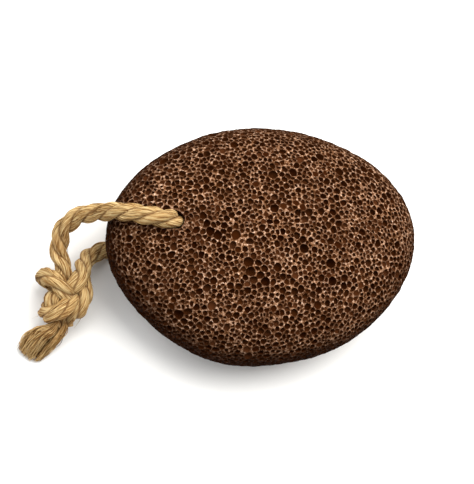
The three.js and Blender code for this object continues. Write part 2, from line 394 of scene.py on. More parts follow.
LOWER_STRAND = [
    (-57.4, 0.5, 8), (-59, -3, 11.25), (-60.5, -6.5, 13.5), (-62.75, -8.25, 13),
    (-64.5, -8.75, 9.5), (-66.5, -6.5, 4.75), (-68.75, -4.4, 4.25), (-70.6, -3.4, 7),
    (-70.85, -3.7, 10.5), (-69.5, -5.2, 13.25), (-67.5, -7.25, 14.25), (-65.5, -9.75, 13.75),
    (-63.5, -11, 10.5), (-63, -11.75, 6.5), (-64.5, -12, 3.5), (-67.5, -12.5, 3.25),
    (-70, -13.5, 5), (-71, -15.25, 8.5), (-70, -16.75, 12), (-67.5, -16, 13.25),
    (-64.25, -14, 12.5), (-61.5, -11.25, 9), (-60, -8, 5.5), (-59, -5.75, 5),
    (-58.75, -5.5, 8), (-59, -8.5, 11), (-59.25, -12, 12), (-61.25, -15.25, 11),
    (-63.25, -16.75, 8.5), (-64.5, -18, 6.5), (-64.75, -21.5, 4.5),
]


def smooth_line(points, step):
    """Points a step apart on the centripetal curve through the given ones, and where each given one is."""
    p = np.asarray(points, float)
    p = np.vstack([2 * p[0] - p[1], p, 2 * p[-1] - p[-2]])
    dense = []
    marks = []
    for i in range(1, len(p) - 2):
        p0, p1, p2, p3 = p[i - 1:i + 3]
        t = np.concatenate([[0], np.cumsum([
            math.sqrt(max(np.linalg.norm(b - a), 1e-6)) for a, b in ((p0, p1), (p1, p2), (p2, p3))
        ])])
        marks.append(len(dense))
        for u in np.linspace(t[1], t[2], CURVE_STEPS, endpoint=False):
            a1 = (t[1] - u) / (t[1] - t[0]) * p0 + (u - t[0]) / (t[1] - t[0]) * p1
            a2 = (t[2] - u) / (t[2] - t[1]) * p1 + (u - t[1]) / (t[2] - t[1]) * p2
            a3 = (t[3] - u) / (t[3] - t[2]) * p2 + (u - t[2]) / (t[3] - t[2]) * p3
            b1 = (t[2] - u) / (t[2] - t[0]) * a1 + (u - t[0]) / (t[2] - t[0]) * a2
            b2 = (t[3] - u) / (t[3] - t[1]) * a2 + (u - t[1]) / (t[3] - t[1]) * a3
            dense.append((t[2] - u) / (t[2] - t[1]) * b1 + (u - t[1]) / (t[2] - t[1]) * b2)
    marks.append(len(dense))
    dense.append(p[-2])
    dense = np.array(dense)
    s = lengths_along(dense)
    q = np.linspace(0, s[-1], int(round(s[-1] / step)) + 1)
    line = np.stack([np.interp(q, s, dense[:, k]) for k in range(3)], -1)
    return line, q, s[marks]


def carried_frames(line):
    """Tangent and two side directions at each point, turned as little as the line allows."""
    t = unit(np.gradient(line, axis=0))
    n = np.zeros_like(t)
    v = np.cross(t[0], [0, 0, 1.0])
    for i in range(len(t)):
        v = v - v @ t[i] * t[i]
        v /= np.linalg.norm(v)
        n[i] = v
    return t, n, np.cross(t, n)


def ply_reach(rel):
    """How far a rope of radius 1 reaches at an angle from the middle of a ply."""
    lobe = PLY_OFFSET * np.cos(rel) + np.sqrt(PLY_RADIUS ** 2 - (PLY_OFFSET * np.sin(rel)) ** 2)
    return SECTION_FULLNESS * (1 - GROOVE_KEPT * (1 - lobe / (PLY_OFFSET + PLY_RADIUS)))


def across_fibres(rel, turn, ply):
    """How far round the rope a place is from its fibres' start, at an angle from the middle of a ply."""
    return ROPE_RADIUS * (rel + LAY_ANGLE_KEPT * turn) + PLY_SHIFT * ply


def relief(across, along, height, cell_across, cell_along, seed):
    """Unevenness that is stretched along the fibres."""
    coords = np.stack([across / cell_across, along / cell_along], -1).reshape(-1, 2)
    return height * value_noise(coords, seed)


class Rope:
    """The whole rope as one line: the upper strand's tail, the loop, and the lower strand's tail."""

    def __init__(self):
        points = UPPER_STRAND[::-1] + LOOP_ROUTE[1:-1] + LOWER_STRAND
        self.line, self.s, marks = smooth_line(points, RING_STEP)
        self.t, self.n, self.b = carried_frames(self.line)
        loop_start = len(UPPER_STRAND) - 1
        loop_end = loop_start + len(LOOP_ROUTE) - 1
        self.loop_from = int(np.argmin(abs(self.s - marks[loop_start])))
        self.loop_to = int(np.argmin(abs(self.s - marks[loop_end])))
        start, end = self.s[self.loop_from], self.s[self.loop_to]
        free = np.minimum(
            smoothstep(self.s, start - INSIDE_BLEND, start + OUTSIDE_BLEND),
            1 - smoothstep(self.s, end - OUTSIDE_BLEND, end + INSIDE_BLEND),
        )
        self.radius = KNOTTED_RADIUS + (ROPE_RADIUS - KNOTTED_RADIUS) * free
        from_end = np.minimum(self.s, self.s[-1] - self.s)
        taper = 1 - smoothstep(from_end, TAPER_FROM, TAPER_TO)
        self.radius = self.radius - (KNOTTED_RADIUS - TAIL_RADIUS) * taper
        self.turn = LAY_PHASE - TAU * self.s / LAY_PITCH

    def stretch(self, first, last):
        """A tube of three lobes, one for each ply, with its fibres, for the rings from first to last."""
        rel = (np.arange(PLY_VERTS) / PLY_VERTS - 0.5) * PLY_ANGLE
        lobe = ply_reach(rel)
        rings = np.arange(first, last + 1)
        around = 3 * PLY_VERTS
        ply_of = np.repeat(np.arange(3), PLY_VERTS)
        rel_of = np.tile(rel, 3)
        turn = self.turn[rings][:, None]
        angle = rel_of[None, :] + ply_of[None, :] * PLY_ANGLE + turn
        shape = np.tile(lobe, 3)[None, :] * self.radius[rings][:, None]
        along = self.s[rings][:, None] + 0 * angle
        across = across_fibres(rel_of[None, :], turn, ply_of[None, :])
        uneven = relief(across, along, *BUNDLE_RELIEF) + relief(across, along, *FIBRE_RELIEF)
        uneven = uneven + relief(ply_of[None, :] * PLY_APART + 0 * along, along, *PLY_RELIEF)
        shape = shape + uneven.reshape(shape.shape)
        verts = (
            self.line[rings][:, None, :]
            + (shape * np.cos(angle))[..., None] * self.n[rings][:, None, :]
            + (shape * np.sin(angle))[..., None] * self.b[rings][:, None, :]
        ).reshape(-1, 3)
        groove = np.tile(1 - (lobe - lobe.min()) / (lobe.max() - lobe.min()), (len(rings), 3)).ravel()
        faces = []
        fibre = []
        for i in range(len(rings) - 1):
            for j in range(around):
                k = (j + 1) % around
                faces.append((i * around + j, i * around + k, (i + 1) * around + k, (i + 1) * around + j))
                for row, column in ((i, j), (i, k), (i + 1, k), (i + 1, j)):
                    at_end = column == k and k % PLY_VERTS == 0
                    corner_rel = HALF_PLY if at_end else rel_of[column]
                    u = across_fibres(corner_rel, self.turn[rings[row]], ply_of[j])
                    fibre.append((u, self.s[rings[row]], ply_of[j]))
        for row in (0, len(rings) - 1):
            ring = [row * around + j for j in range(around)]
            faces.append(tuple(ring[::-1] if row == 0 else ring))
            fibre += [(CAP_FIBRE_STEP * j, self.s[rings[row]], 0) for j in range(around)]
        return verts, faces, np.array(fibre), groove, np.full(len(verts), MIDDLE_TONE)


rope = Rope()


def merged(parts):
    """Several (verts, faces, fibre, groove, tone) as one."""
    verts, faces, fibre, groove, tone = [], [], [], [], []
    count = 0
    for part in parts:
        verts.append(part[0])
        faces += [tuple(index + count for index in face) for face in part[1]]
        fibre.append(part[2])
        groove.append(part[3])
        tone.append(part[4])
        count += len(part[0])
    return np.vstack(verts), faces, np.vstack(fibre), np.concatenate(groove), np.concatenate(tone)


def hair(points, radius, sides, tone, tip):
    """One fibre or lock of fibres: a thin tube through the points, which tapers to a share of its radius."""
    points = np.asarray(points, float)
    _, n, b = carried_frames(points)
    angles = np.arange(sides) * TAU / sides
    share = np.linspace(0, 1, len(points))
    width = radius * (1 - (1 - tip) * smoothstep(share, HAIR_TAPERS_FROM, 1.0))
    verts = (
        points[:, None, :]
        + (width[:, None] * np.cos(angles)[None, :])[..., None] * n[:, None, :]
        + (width[:, None] * np.sin(angles)[None, :])[..., None] * b[:, None, :]
    ).reshape(-1, 3)
    lengths = lengths_along(points)
    across_start, along_start = tone * TONE_ACROSS, TONE_ALONG * tone
    faces, fibre = [], []
    for i in range(len(points) - 1):
        for j in range(sides):
            k = (j + 1) % sides
            faces.append((i * sides + j, i * sides + k, (i + 1) * sides + k, (i + 1) * sides + j))
            for row, column in ((i, j), (i, j + 1), (i + 1, j + 1), (i + 1, j)):
                fibre.append((across_start + column * radius, lengths[row] + along_start, tone))
    first_ring = list(range(sides))[::-1]
    last_ring = [(len(points) - 1) * sides + j for j in range(sides)]
    for ring in (first_ring, last_ring):
        faces.append(tuple(ring))
        fibre += [(across_start, along_start, tone)] * sides
    return verts, faces, np.array(fibre), np.zeros(len(verts)), np.full(len(verts), tone)


def laid_fibres(rng, first, last, count):
    """Raised bundles of fibres that run along the rope, over one ply and down into the grooves beside it."""
    out = []
    drift = LAY_ANGLE_KEPT * TAU / LAY_PITCH
    longest = HALF_PLY / drift
    for _ in range(count):
        middle = rng.uniform(rope.s[first] + BUNDLE_MARGIN, rope.s[last] - BUNDLE_MARGIN)
        ply = int(rng.integers(3))
        reach = rng.uniform(*BUNDLE_REACH) * longest
        shift = rng.uniform(-1, 1) * (longest - reach)
        q = np.linspace(-1, 1, BUNDLE_POINTS)
        s = middle + shift + reach * q
        rel = drift * (s - middle) + rng.uniform(*BUNDLE_TURN) * q
        index = np.interp(s, rope.s, np.arange(len(rope.s)))
        near = np.clip(np.round(index).astype(int), 0, len(rope.s) - 1)
        angle = rel + ply * PLY_ANGLE + np.interp(s, rope.s, rope.turn)
        lift = rng.uniform(*BUNDLE_RISE) - BUNDLE_SINK * q ** 4
        radial = ply_reach(np.clip(rel, -HALF_PLY, HALF_PLY)) * rope.radius[near] + lift
        line = np.stack([np.interp(s, rope.s, rope.line[:, k]) for k in range(3)], -1)
        points = (
            line
            + (radial * np.cos(angle))[:, None] * rope.n[near]
            + (radial * np.sin(angle))[:, None] * rope.b[near]
        )
        points[:, 2] = np.maximum(points[:, 2], LOWEST_BUNDLE)
        radius = rng.uniform(*BUNDLE_RADIUS)
        out.append(hair(points, radius, BUNDLE_SIDES, rng.random(), BUNDLE_TIP))
    return out


def loose_fibres(rng, first, last, count):
    """Short fibres that stand off the rope."""
    out = []
    clear_first, clear_last = LOOSE_RINGS_CLEAR
    for _ in range(count):
        i = int(rng.integers(first + clear_first, last - clear_last))
        a = rng.uniform(0, TAU)
        side = math.cos(a) * rope.n[i] + math.sin(a) * rope.b[i]
        start = rope.line[i] + side * rope.radius[i] * LOOSE_ROOT
        sense = 1 if rng.random() < LOOSE_FORWARD else -1
        length = rng.uniform(*LOOSE_LENGTH)
        lift = rng.uniform(*LOOSE_LIFT)
        turn = np.cross(rope.t[i], side) * rng.uniform(*LOOSE_TURN)
        way = unit(rope.t[i] * sense + side * lift + turn)
        bend = side * rng.uniform(*LOOSE_BEND) + turn * rng.uniform(-1, 1)
        q = np.linspace(0, 1, LOOSE_POINTS)[:, None]
        points = start + way * length * q + bend * length * q * q * LOOSE_BEND_SHARE
        points[:, 2] = np.maximum(points[:, 2], LOWEST_LOOSE)
        radius = rng.uniform(*LOOSE_RADIUS)
        if points[:, 0].max() < STONE_REACH:
            out.append(hair(points, radius, LOOSE_SIDES, rng.random(), LOOSE_TIP))
    return out


def rope_piece(name, parts, replaced):
    verts, faces, fibre, groove, tone = merged(parts)
    piece = make_piece(name, verts, faces, ROPE, replaced)
    add_attribute(piece, "fibre", fibre, "FLOAT_VECTOR", "CORNER")
    add_attribute(piece, "groove", groove)
    add_attribute(piece, "tone", tone)
    piece.data.set_sharp_from_angle(angle=math.radians(ROPE_SHARP_ANGLE))
    return piece


def make_rope():
    rng = np.random.default_rng(ROPE_SEED)
    first, last = rope.loop_from, rope.loop_to
    loop_parts = [rope.stretch(first, last)]
    loop_parts += laid_fibres(rng, first, last, LOOP_BUNDLES)
    loop_parts += loose_fibres(rng, first, last, LOOP_LOOSE)
    loop = rope_piece("loop", loop_parts, "rope_loop")
    unfrayed = rope.line[:, 1] > FRAY_LINE - FRAY_OVERLAP
    tail_one = int(np.argmax(unfrayed))
    tail_two = len(rope.line) - 1 - int(np.argmax(unfrayed[::-1]))
    knot_parts = [rope.stretch(tail_one, first), rope.stretch(last, tail_two)]
    knot_parts += laid_fibres(rng, tail_one, first, UPPER_BUNDLES)
    knot_parts += laid_fibres(rng, last, tail_two, LOWER_BUNDLES)
    knot_parts += loose_fibres(rng, last, tail_two, KNOT_LOOSE)
    knot = rope_piece("knot", knot_parts, "rope_knot")
    ends = rope_piece("frayed_ends", frayed_ends(rng), "rope_ends")


# The frayed ends as lobes: each has two edges and a middle line, from the knot to the tips
LEFT_LOBE = [
    [(-67.4, -17.8, 5.8), (-71.0, -19.2, 6.6), (-75.0, -19.9, 6.2), (-78.2, -21.5, 4.6), (-80.1, -24.0, 2.4)],
    [(-67.4, -18.0, 5.8), (-70.2, -20.6, 6.6), (-73.6, -22.1, 6.2), (-76.4, -24.3, 4.0), (-78.4, -26.8, 1.9)],
    [(-67.2, -18.2, 5.4), (-69.3, -21.7, 5.6), (-71.4, -23.7, 4.8), (-73.4, -25.8, 3.0), (-75.6, -28.4, 1.4)],
]
RIGHT_LOBE = [
    [(-65.6, -18.2, 5.6), (-67.5, -21.7, 5.0), (-69.9, -23.9, 4.6), (-72.3, -26.2, 3.0), (-74.8, -28.8, 1.4)],
    [(-65.0, -18.2, 5.8), (-66.7, -21.6, 5.6), (-69.0, -24.3, 4.6), (-71.3, -26.6, 3.0), (-73.8, -28.6, 1.4)],
    [(-64.4, -18.2, 5.4), (-65.4, -21.3, 4.8), (-67.6, -24.1, 3.8), (-70.1, -26.3, 2.4), (-72.5, -27.9, 1.2)],
]
UNDER_LOBE = [
    [(-67.0, -18.2, 4.2), (-69.5, -21.4, 3.2), (-71.9, -23.4, 2.6), (-74.2, -25.3, 1.8), (-76.2, -27.3, 1.0)],
    [(-66.2, -18.2, 4.2), (-68.3, -21.8, 3.0), (-70.5, -23.7, 2.2), (-72.8, -25.7, 1.5), (-74.8, -27.7, 0.9)],
    [(-65.3, -18.2, 4.2), (-67.0, -21.9, 3.2), (-69.1, -24.2, 2.4), (-71.4, -26.3, 1.6), (-73.3, -27.8, 1.0)],
]
LOBE_THICKNESS = np.array([1.6, 1.9, 2.0, 1.6, 0.9])
LEFT_LOCKS, RIGHT_LOCKS, THIN_FIBRES, UNDER_LOCKS = 170, 115, 150, 35

# Locks, thin fibres and the locks under them: least and greatest radius, sides, tip, jitter and layers
LOCK_RADIUS, LOCK_SIDES, LOCK_TIP, LOCK_JITTER, LOCK_LAYERS = (0.13, 0.27), 6, 0.55, 0.22, (-1, 1)
THIN_RADIUS, THIN_SIDES, THIN_TIP, THIN_JITTER, THIN_LAYERS = (0.07, 0.13), 4, 0.5, 0.35, (-0.9, 1.3)
UNDER_RADIUS, UNDER_JITTER, UNDER_LAYERS = (0.25, 0.40), 0.15, (-0.4, 0.4)
LOWEST_LOCK = 0.45

# Tones: the dark ones, and for locks and thin fibres the share that is dark and where the light ones begin
DARK_TONES = (0.0, 0.20)
LOCK_TONES = (0.30, 0.5)
THIN_TONES = (0.33, 0.6)

# A lock's line: how flat a lobe's edges are, how far the tips vary, and its waves
EDGE_FLATNESS = 0.7
TIP_JITTER = 0.5
LOCK_STEP = 1.1
WAVES = (0.8, 1.8)
WAVE_HEIGHT = (0.03, 0.14)


def lock_line(rng, lobe, share, layer, jitter):
    """A line inside a lobe, at a share of its width and a layer from -1 below to 1 above."""
    lobe = np.array(lobe)
    first = min(int(2 * share), 1)
    knots = lobe[first] + (2 * share - first) * (lobe[first + 1] - lobe[first])
    round_off = math.sqrt(1 - EDGE_FLATNESS * (2 * share - 1) ** 2)
    knots[:, 2] += layer * LOBE_THICKNESS * round_off
    knots[1:] += rng.normal(0, jitter, (4, 3))
    knots[4] += unit(knots[4] - knots[3]) * rng.normal(0, TIP_JITTER)
    points = smooth_line(knots, LOCK_STEP)[0]
    q = np.linspace(0, 1, len(points))[:, None]
    waves = rng.uniform(*WAVES)
    phase = rng.uniform(0, TAU)
    height = rng.uniform(*WAVE_HEIGHT)
    sideways = unit(rng.normal(0, 1, 3))
    points = points + np.sin(q * TAU * waves + phase) * height * sideways * q
    points[:, 2] = np.maximum(points[:, 2], LOWEST_LOCK)
    return points


def mixed_tone(rng, dark_share, light_from):
    dark = rng.random() < dark_share
    return rng.uniform(*DARK_TONES) if dark else rng.uniform(light_from, 1.0)


def frayed_ends(rng):
    """Two tails that fan out in locks of fibres with thinner fibres among them, over dark locks that are
    painted shade beneath them.
    """
    locks = []
    for lobe, count in ((LEFT_LOBE, LEFT_LOCKS), (RIGHT_LOBE, RIGHT_LOCKS)):
        for _ in range(count):
            layer = rng.uniform(*LOCK_LAYERS)
            line = lock_line(rng, lobe, rng.random(), layer, LOCK_JITTER)
            tone = mixed_tone(rng, *LOCK_TONES)
            locks.append(hair(line, rng.uniform(*LOCK_RADIUS), LOCK_SIDES, tone, LOCK_TIP))
        for _ in range(THIN_FIBRES):
            line = lock_line(rng, lobe, rng.random(), rng.uniform(*THIN_LAYERS), THIN_JITTER)
            tone = mixed_tone(rng, *THIN_TONES)
            locks.append(hair(line, rng.uniform(*THIN_RADIUS), THIN_SIDES, tone, THIN_TIP))
    # The locks underneath take only dark tones: painted shade under the upper locks
    for _ in range(UNDER_LOCKS):
        line = lock_line(rng, UNDER_LOBE, rng.random(), rng.uniform(*UNDER_LAYERS), UNDER_JITTER)
        radius = rng.uniform(*UNDER_RADIUS)
        locks.append(hair(line, radius, LOCK_SIDES, rng.uniform(*DARK_TONES), LOCK_TIP))
    return locks


make_rope()

# Stone: its outline in plan, its section, and how far its underside rises toward the rope
STONE_LENGTH = 101.9
STONE_WIDTH = 78.6
WIDEST_HEIGHT = 18.5
TOP_RISE = 18.3
BASE_DROP = 18.9
RIM_ROUNDNESS = 2.5
DOME_ROUNDNESS = 2.3
OUTLINE_WAVES = [(1, 0.0201, 71), (3, 0.015, 58), (4, 0.0057, -30), (5, 0.0077, 98), (6, 0.0034, 0)]
OUTLINE_FIT = 1.006
OUTLINE_SHIFT = (-0.6, -0.5)
LIFT_SHARE = 0.2
LIFT_FROM = 8
LIFT_TO = 32
MEAN_RADIUS = (STONE_LENGTH + STONE_WIDTH) / 4
SECTION_STEPS = 8001
STONE_SHARP_ANGLE = 55
STONE_SEED, COARSE_SEED, HOLE_SEED = 4, 21, 31

# The hole, the room that pores leave round it, and where its upper part leans toward the rope
HOLE_X, HOLE_Y, HOLE_RADIUS = -30.6, 6.0, 2.98
HOLE_ROOM = 3.35
HOLE_LEAN, LEAN_FROM, LEAN_TO = 1.15, 27.0, 33.5
HOLE_VERTS = 40
HOLE_SLACK = 0.12
HOLE_WOBBLES = ((0.08, 5), (0.06, 9))
HOLE_ROUGHNESS = 0.16
HOLE_CELL = 0.9
HOLE_SHADE = 0.8
HOLE_RINGS = np.concatenate([[0.012, 0.04], np.linspace(0.1, 0.9, 13), [0.96, 0.988]])
ROPE_SIDE_X = -26
ROPE_SIDE_Y = (-6, 20)
ROPE_GAP = 0.05

# Pores from large to small, as least and greatest reach and how many places are tried
PORE_SIZES = ((1.22, 1.50, 60), (0.84, 1.04, 1400), (0.57, 0.76, 14000), (0.42, 0.53, 26000))
MOST_PORES = 9000
BASE_PORE, UPPER_MOUTH, LOWER_MOUTH = 0, 1, 2
BASE_PORE_ROOM = 1.3
BASE_RIM_VERTS, BASE_RIM_ANGLE = 12, 0.026

# Rims: how they are sampled, the wall they leave, and how far they may grow into free room
RIM_SAMPLES = 48
RIM_STEP = 0.80
NEIGHBOURS = 16
FEWEST_RIM_VERTS, MOST_RIM_VERTS = 5, 14
HALF_WALL = (0.05, 0.12)
THICK_WALLS, THICKER_BY = 0.15, 0.7
SMALL_RIMS, SMALL_GROWTH, USUAL_GROWTH = 0.15, (1.0, 1.15), (1.55, 2.3)
FACING = 0.08
FAR_OFF = 99
OVAL, THREE_SIDED = (0.0, 0.18), (0.0, 0.08)
SMALLEST_RIM = 0.35
UNEVEN_STOPS = (-0.2, 0.2)

# The land between rims, which lies a little below the smooth stone except on the base
CHART_GAP = 1e-7
NORMAL_STEP = 0.02
LAND_DROP, COARSE_DROP, FINE_DROP = 0.04, 0.18, 0.14
COARSE_CELL = 2.4
LEVEL_BELOW = 1.5
# How upright a normal is where the painted shade on steep sides is full, and where it is gone
STEEP, LEVEL = 0.22, 0.985

# Pits: how deep they are for their rim's size, and their rings as a share of the rim and of the depth
SHALLOW_PITS, SHALLOW_DEPTH, USUAL_DEPTH = 0.08, (0.45, 0.70), (1.1, 1.7)
PIT_LEAN = 0.10
LARGE_PIT_RINGS = ((0.93, 0.42), (0.72, 0.84))
SMALL_PIT_RINGS = ((0.84, 0.75),)
LARGE_FROM, POINTED_FROM = 10, 7
UNEVEN_RING, UNEVEN_FALL = (0.96, 1.04), (0.9, 1.1)

section_t = np.linspace(0, 1, SECTION_STEPS)
section_reach = MEAN_RADIUS * np.sin(np.pi * section_t).clip(0) ** (2 / RIM_ROUNDNESS)
section_bulge = np.abs(np.cos(np.pi * section_t)) ** (2 / DOME_ROUNDNESS)
section_rise = np.where(section_t < 0.5, TOP_RISE * section_bulge, -BASE_DROP * section_bulge)
section_arc = np.concatenate([[0], np.cumsum(np.hypot(np.diff(section_reach), np.diff(section_rise)))])
section_arc /= section_arc[-1]
HALF = len(section_t) // 2


def outline_radius(angle):
    long, wide = STONE_LENGTH / 2, STONE_WIDTH / 2
    ellipse = long * wide / np.hypot(wide * np.cos(angle), long * np.sin(angle))
    waves = sum(size * np.cos(order * angle - math.radians(phase)) for order, size, phase in OUTLINE_WAVES)
    return ellipse * (OUTLINE_FIT + waves)


def stone_points(d):
    """The points of the smooth stone that directions from its middle lead to."""
    angle = np.arctan2(d[:, 1], d[:, 0])
    along = np.arccos(np.clip(d[:, 2], -1, 1)) / np.pi
    reach = np.interp(along, section_arc, section_reach)
    rise = np.interp(along, section_arc, section_rise)
    distance = reach * outline_radius(angle) / MEAN_RADIUS
    x = distance * np.cos(angle)
    lift = LIFT_SHARE * smoothstep(-x, LIFT_FROM, LIFT_TO)
    z = WIDEST_HEIGHT + np.where(rise < 0, rise * (1 - lift), rise)
    y = distance * np.sin(angle)
    return np.stack([x + OUTLINE_SHIFT[0], y + OUTLINE_SHIFT[1], np.maximum(z, 0)], -1)


def directions_at(x, y, upper):
    """The directions that lead to the smooth stone's points above or below places in plan."""
    px, py = x - OUTLINE_SHIFT[0], y - OUTLINE_SHIFT[1]
    angle = np.arctan2(py, px)
    reach = np.hypot(px, py) * MEAN_RADIUS / outline_radius(angle)
    if upper:
        along = np.interp(reach, section_reach[:HALF + 1], section_arc[:HALF + 1])
    else:
        along = np.interp(reach, section_reach[HALF:][::-1], section_arc[HALF:][::-1])
    polar = np.pi * along
    return np.stack([np.sin(polar) * np.cos(angle), np.sin(polar) * np.sin(angle), np.cos(polar)], -1)


def side_axes(d):
    a = np.stack([-d[:, 1], d[:, 0], 0 * d[:, 0]], -1)
    flat = np.linalg.norm(a, axis=1) < 1e-6
    a[flat] = (1, 0, 0)
    a = unit(a)
    return a, np.cross(d, a)


def slopes(d, step=0.012):
    """How the stone's point moves as its direction turns either way, and the outward normal."""
    a, b = side_axes(d)
    ja = (stone_points(unit(d + step * a)) - stone_points(unit(d - step * a))) / (2 * step)
    jb = (stone_points(unit(d + step * b)) - stone_points(unit(d - step * b))) / (2 * step)
    return a, b, ja, jb, unit(np.cross(ja, jb))


def hole_middle(z):
    """The hole's middle at a height: near the top it leans the way the rope comes from."""
    return HOLE_X - HOLE_LEAN * smoothstep(z, LEAN_FROM, LEAN_TO)


def hole_rim(upper):
    angle = np.arange(HOLE_VERTS) * TAU / HOLE_VERTS
    (wide, wide_count), (fine, fine_count) = HOLE_WOBBLES
    start = 1 if upper else 3
    wobble = wide * np.sin(wide_count * angle + start) + fine * np.sin(fine_count * angle)
    radius = HOLE_RADIUS + HOLE_SLACK + wobble
    x = hole_middle(LEAN_TO if upper else 0) + radius * np.cos(angle)
    y = HOLE_Y + radius * np.sin(angle)
    return directions_at(x, y, upper)


def scatter_pores(rng):
    """The base pore, the hole's mouths, and pores from large to small that keep clear of one another."""
    d = [np.array([0, 0, -1.0])]
    for upper in (True, False):
        middle = hole_middle(LEAN_TO if upper else 0)
        d.append(directions_at(np.array([middle]), np.array([HOLE_Y]), upper)[0])
    place = np.zeros((MOST_PORES, 3))
    room = np.zeros(MOST_PORES)
    count = len(d)
    place[:count] = stone_points(np.array(d))
    room[:count] = [BASE_PORE_ROOM, HOLE_ROOM, HOLE_ROOM]
    for low, high, tries in PORE_SIZES:
        z = rng.uniform(-1, 1, tries)
        angle = rng.uniform(0, TAU, tries)
        level = np.sqrt(1 - z * z)
        candidates = np.stack([level * np.cos(angle), level * np.sin(angle), z], -1)
        spots = stone_points(candidates)
        sizes = rng.uniform(low, high, tries)
        for k in range(tries):
            gap = place[:count] - spots[k]
            if np.all(row_dots(gap, gap) >= (room[:count] + sizes[k]) ** 2):
                place[count] = spots[k]
                room[count] = sizes[k]
                d.append(candidates[k])
                count += 1
    return np.array(d), place[:count], room[:count]


def rims(rng, d, place, room):
    """Each pore's rim, as directions: a rounded polygon that leaves a thin wall to its neighbours."""
    count = len(d)
    a, b, ja, jb, normal = slopes(d)
    t1 = unit(ja)
    t2 = unit(jb - row_dots(jb, t1)[:, None] * t1)
    m = np.stack([
        np.stack([row_dots(t1, ja), row_dots(t1, jb)], -1),
        np.stack([row_dots(t2, ja), row_dots(t2, jb)], -1),
    ], 1)
    inverse = np.linalg.inv(m)
    half_wall = rng.uniform(*HALF_WALL, count) * (1 + THICKER_BY * (rng.random(count) < THICK_WALLS))
    small = rng.random(count) < SMALL_RIMS
    grow = room * np.where(small, rng.uniform(*SMALL_GROWTH, count), rng.uniform(*USUAL_GROWTH, count))
    rim_dirs = []
    rim_size = []
    dense = np.arange(RIM_SAMPLES) * TAU / RIM_SAMPLES
    rays = np.stack([np.cos(dense), np.sin(dense)], -1)
    for i in range(count):
        gap = place - place[i]
        near = np.argsort(row_dots(gap, gap))[1:NEIGHBOURS + 1]
        ahead = d[near] @ d[i]
        tangent = np.stack([d[near] @ a[i], d[near] @ b[i]], -1) / ahead[:, None]
        v = tangent @ m[i].T
        far = np.linalg.norm(v, axis=1)
        edge = (far ** 2 + room[i] ** 2 - room[near] ** 2) / (2 * far)
        towards = rays @ (v / far[:, None]).T
        blocked = np.where(towards > FACING, edge[None, :] / np.maximum(towards, FACING), FAR_OFF)
        limit = blocked.min(axis=1) - half_wall[i]
        oval = 1 + rng.uniform(*OVAL) * np.cos(2 * (dense - rng.uniform(0, np.pi)))
        oval = oval + rng.uniform(*THREE_SIDED) * np.cos(3 * (dense - rng.uniform(0, np.pi)))
        radius = np.minimum(limit, grow[i] * oval)
        for _ in range(2):
            smooth = 0.25 * np.roll(radius, 2) + 0.5 * radius + 0.25 * np.roll(radius, -2)
            radius = np.minimum(radius, smooth)
        radius = np.maximum(radius, SMALLEST_RIM * room[i])
        outline = rays * radius[:, None]
        closed = np.vstack([outline, outline[:1]])
        length = lengths_along(closed)
        n = int(np.clip(round(length[-1] / RIM_STEP), FEWEST_RIM_VERTS, MOST_RIM_VERTS))
        stops = np.arange(n) + rng.uniform(*UNEVEN_STOPS, n) + rng.random()
        stops = np.sort(stops * length[-1] / n % length[-1])
        spots = np.stack([np.interp(stops, length, closed[:, k]) for k in range(2)], -1)
        offset = spots @ inverse[i].T
        if i == BASE_PORE:
            angle = np.arange(BASE_RIM_VERTS) * TAU / BASE_RIM_VERTS
            offset = BASE_RIM_ANGLE * np.stack([np.cos(angle), np.sin(angle)], -1)
        rim_dirs.append((a[i], b[i], offset))
        rim_size.append(radius.mean())
    return rim_dirs, np.array(rim_size), normal


def rim_loops(d, rim_dirs):
    """All the rims' directions, and for each rim the numbers of its own."""
    dirs = []
    loops = []
    count = 0
    for i, (a, b, offset) in enumerate(rim_dirs):
        if i in (UPPER_MOUTH, LOWER_MOUTH):
            points = hole_rim(i == UPPER_MOUTH)
        else:
            points = unit(d[i] + offset[:, :1] * a + offset[:, 1:] * b)
        dirs.append(points)
        loops.append(list(range(count, count + len(points))))
        count += len(points)
    return np.vstack(dirs), loops


def land_between(dirs, loops):
    """Triangles between the rims, from a flat chart that the base pore's rim bounds, and all directions."""
    flat = dirs[:, :2] / (1 + dirs[:, 2:])
    coords = [Vector((float(x), float(y))) for x, y in flat]
    outlines = [loops[UPPER_MOUTH], loops[LOWER_MOUTH][::-1]] + loops[LOWER_MOUTH + 1:]
    chart, _, faces, origins, _, inside_of = geometry.delaunay_2d_cdt(
        coords, [], outlines, 0, CHART_GAP, True
    )
    number_of = []
    added = []
    for (x, y), origin in zip(chart, origins):
        if origin:
            number_of.append(origin[0])
        else:
            number_of.append(len(dirs) + len(added))
            r2 = x * x + y * y
            added.append((2 * x / (1 + r2), 2 * y / (1 + r2), (1 - r2) / (1 + r2)))
    land = [
        [number_of[v] for v in face]
        for face, inside in zip(faces, inside_of) if not inside
    ]
    return np.array(land), np.vstack([dirs, np.array(added).reshape(-1, 3)])


class StoneMesh:
    """Points, each with its depth in a pit, its pit's tone and its outward normal, and triangles."""

    def __init__(self):
        self.verts, self.depth, self.tone, self.normal = [], [], [], []
        self.tris = []
        self.total = 0

    def add(self, points, depth, tone, normal):
        """Takes in points and gives their numbers."""
        count = len(points)
        self.verts.append(points)
        self.depth.append(depth + np.zeros(count))
        self.tone.append(np.full(count, tone))
        self.normal.append(normal + np.zeros((count, 3)))
        self.total += count
        return list(range(self.total - count, self.total))

    def band(self, ring, next_ring):
        """Triangles between two rings of as many points."""
        n = len(ring)
        for k in range(n):
            p, q = ring[k], ring[(k + 1) % n]
            r, s = next_ring[(k + 1) % n], next_ring[k]
            self.tris.append((p, q, r))
            self.tris.append((p, r, s))


